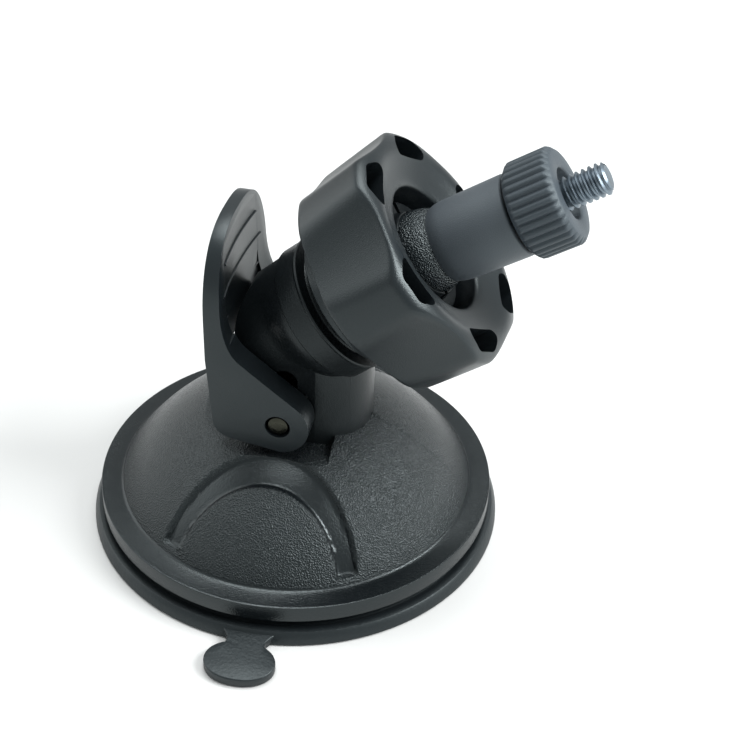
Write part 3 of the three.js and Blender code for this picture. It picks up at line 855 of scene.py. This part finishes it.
def makeRing():
    low, high, r = ringSizes["start"], ringSizes["end"], ringSizes["radius"]
    body = turned("lockRing", [
        (screw["hole"], low), (8.2, low), (8.6, low + 0.12), (9.3, low + 0.75), (9.52, low + 1.0),
        (r, low + 1.3), (r, low + 3.2), (r, high - 3.2), (r, high - 1.3), (9.5, high - 1.0),
        (9.25, high - 0.7), (8.6, high - 0.12), (8.35, high), (5.4, high), (5.15, high - 0.15),
        (ringSizes["recess"], high - 0.45), (ringSizes["recess"], high - 2.45), (4.85, high - 2.6),
        (3.7, high - 2.6), (screw["hole"], high - 2.8), (screw["hole"], low)], 360)
    # straight knurl: rounded ribs with hollows between them, fading out at the chamfers
    for vertex in body.data.vertices:
        x, y, z = vertex.co
        radius = sqrt(x * x + y * y)
        if radius < ringSizes["knurlInner"]:
            continue
        wave = 0.5 + 0.5 * cos(atan2(y, x) * ringSizes["teeth"])
        reach = fade(radius, ringSizes["knurlInner"], ringSizes["knurlFull"])
        depth = ringSizes["press"] * wave ** 2.2 * reach
        vertex.co.x = x * (radius - depth) / radius
        vertex.co.y = y * (radius - depth) / radius
    finished(ontoAxis(body, stemTilt), "lockRing", ringPlastic, "ring", ["lock_ring"], 45)


makeBall()
makeStem()
makeScrew()
makeRing()


# return spring, wound as a single coil; in the real mechanism it shortens as the stud is drawn up

spring = {"mean": 6.7, "wire": 0.8, "low": 5.4, "high": 23.4, "turns": 6, "lift": 7.0}


def makeSpring():
    middle = spring["low"] + spring["wire"]
    section = arc(spring["mean"], middle, spring["wire"], 0, 360, 14)[:-1]
    length = spring["high"] - spring["low"]
    pitch = (length - 2 * spring["wire"]) / spring["turns"]
    coil = wound("springSection", section, pitch, spring["turns"])
    finished(coil, "returnSpring", springSteel, "base", ["return_spring"])
    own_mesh(coil)


makeSpring()


# the stud, hidden in the housing, keeps its frame shape

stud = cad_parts["pad_stud"]
stud.data.materials.clear()
stud.data.materials.append(satinPlastic)
print("object made")


# floor, light and camera

stage = {"floor": 12.0, "floorTone": (0.55, 0.56, 0.557, 1), "world": 0.52,
         "above": 2.6, "aboveSpread": radians(40), "aboveLean": radians(16)}
panels = {
    "right panel": {"place": (0.52, 0.0, 0.46), "aim": (0.01, 0, 0.03), "size": 0.36, "power": 6.6},
    "left panel": {"place": (-0.75, 0.05, 0.43), "aim": (0, 0, 0.05), "size": 0.8, "power": 3.4},
}
view = {"place": Vector((0.05153, -0.20669, 0.19181)), "aim": Vector((0.01655, 0, 0.03684)),
        "roll": radians(2.783), "lens": 60}


def makeStage():
    deselectAll()
    bpy.ops.mesh.primitive_plane_add(size=stage["floor"], location=(0, 0, -0.0001))
    floor = bpy.context.object
    floor.name = "floor"
    settle(floor)
    material = bpy.data.materials.new("pale floor")
    material.use_nodes = True
    shader = material.node_tree.nodes["Principled BSDF"]
    shader.inputs["Base Color"].default_value = stage["floorTone"]
    shader.inputs["Roughness"].default_value = 0.8
    shader.inputs["Specular IOR Level"].default_value = 0.2
    floor.data.materials.append(material)

    world = bpy.data.worlds.new("soft room")
    bpy.context.scene.world = world
    world.use_nodes = True
    backdrop = world.node_tree.nodes["Background"]
    backdrop.inputs["Color"].default_value = (0.97, 1.0, 1.0, 1)
    backdrop.inputs["Strength"].default_value = stage["world"]

    for name, panel in panels.items():
        data = bpy.data.lights.new(name, "AREA")
        data.shape = "SQUARE"
        data.size = panel["size"]
        data.energy = panel["power"]
        lamp = bpy.data.objects.new(name, data)
        bpy.context.scene.collection.objects.link(lamp)
        lamp.location = panel["place"]
        away = Vector(panel["aim"]) - Vector(panel["place"])
        lamp.rotation_euler = away.to_track_quat("-Z", "Y").to_euler()
    data = bpy.data.lights.new("overhead", "SUN")
    data.energy = stage["above"]
    data.angle = stage["aboveSpread"]
    lamp = bpy.data.objects.new("overhead", data)
    bpy.context.scene.collection.objects.link(lamp)
    lamp.location = (0, 0, 1)
    lamp.rotation_euler = (-stage["aboveLean"], 0, 0)


def makeCamera():
    data = bpy.data.cameras.new("view")
    data.lens = view["lens"]
    data.sensor_width = 36
    camera = bpy.data.objects.new("view", data)
    bpy.context.scene.collection.objects.link(camera)
    camera.location = view["place"]
    camera.rotation_mode = "QUATERNION"
    look = (view["aim"] - view["place"]).to_track_quat("-Z", "Y")
    camera.rotation_quaternion = look @ Quaternion((0, 0, 1), view["roll"])
    bpy.context.scene.camera = camera


makeStage()
makeCamera()
bpy.context.scene.view_settings.view_transform = "Standard"
